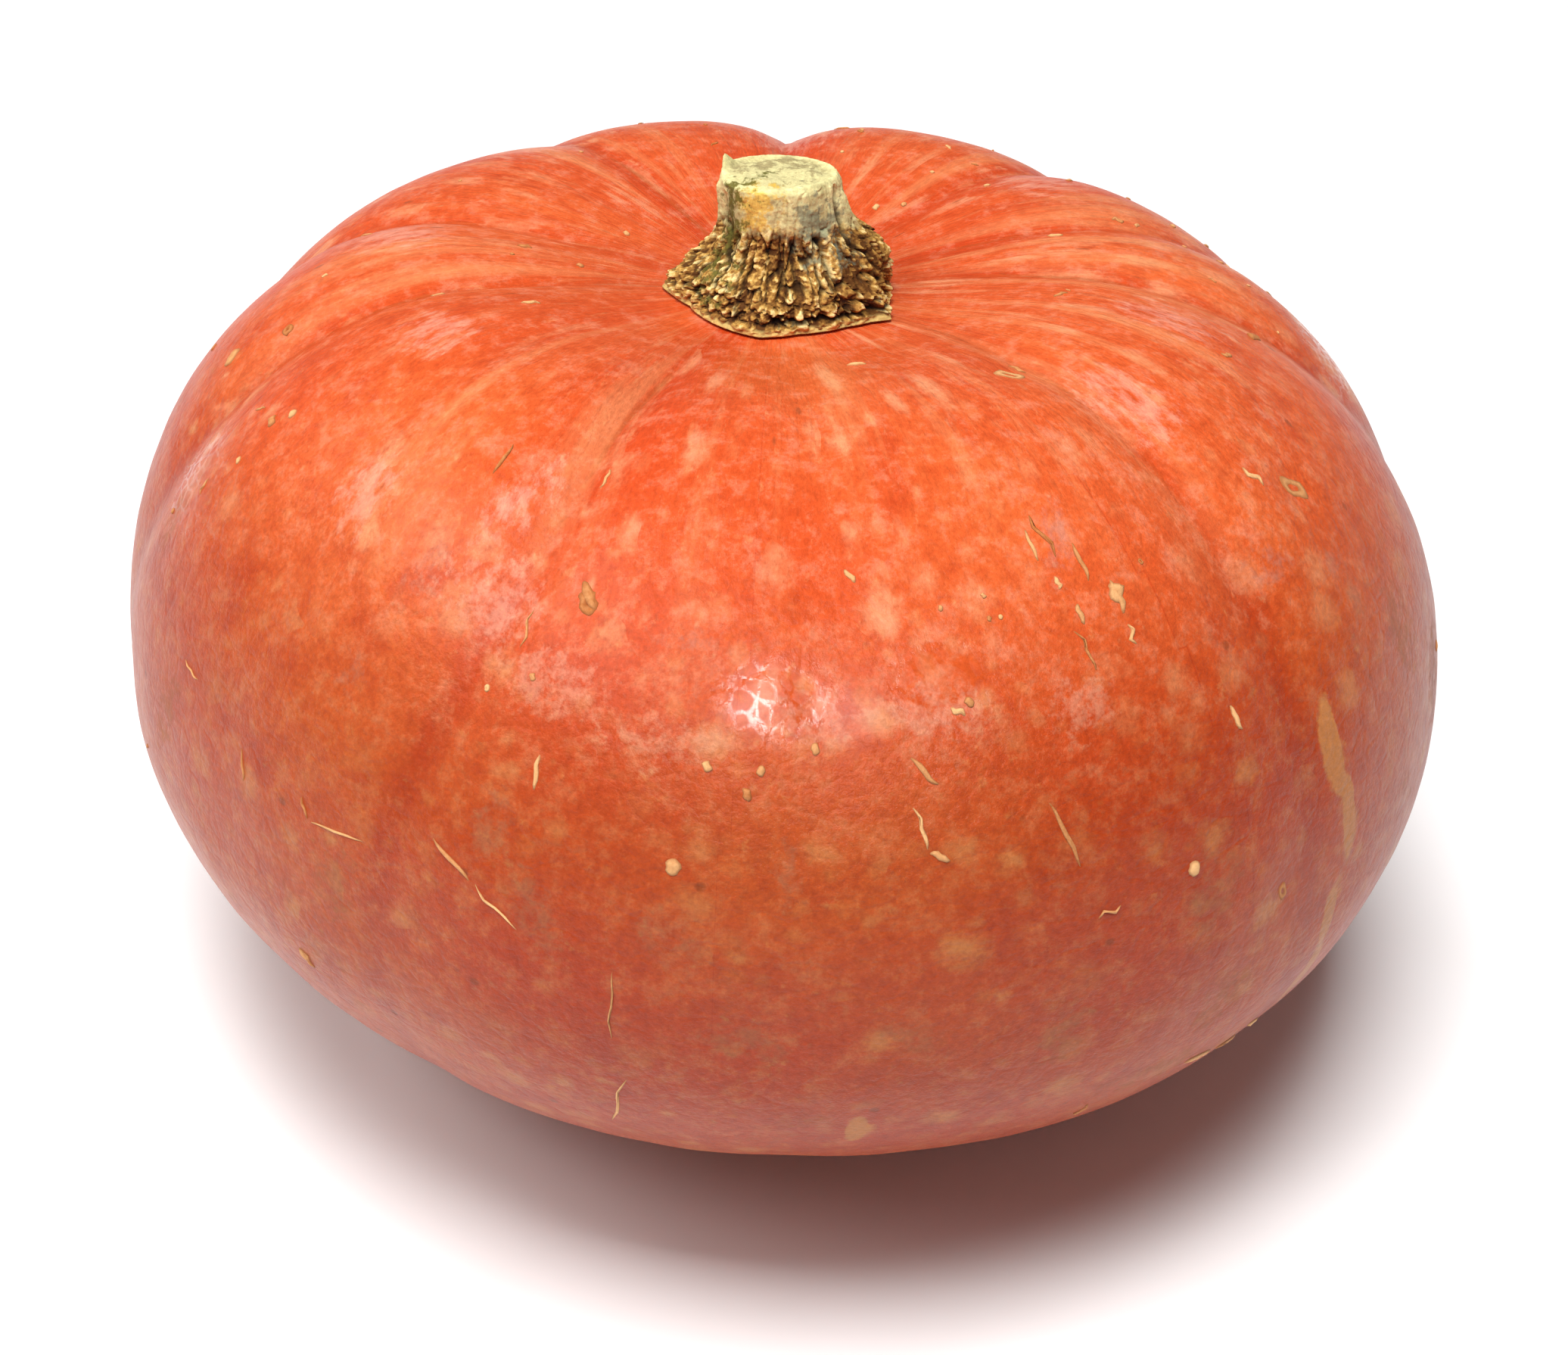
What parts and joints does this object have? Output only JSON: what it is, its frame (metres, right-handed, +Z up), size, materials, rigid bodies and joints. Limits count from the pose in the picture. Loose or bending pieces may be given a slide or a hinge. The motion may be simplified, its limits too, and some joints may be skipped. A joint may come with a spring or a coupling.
{
  "type": "winter squash",
  "caption": "Orange winter squash, a flattened round fruit with shallow furrows and a cut corky stem, resting on a small flat spot.",
  "frame": {"origin": "on the surface that it stands on, under the middle of the fruit", "axes": "+Z up, along the stem but for a lean of three degrees; -Y towards the front"},
  "size_m": [0.2074, 0.213, 0.1406],
  "materials": {
    "rind": "waxy satin",
    "cork": "dry rough"
  },
  "bodies": {
    "root": {"fruit": "rind", "stem": "cork"}
  },
  "joints": []
}
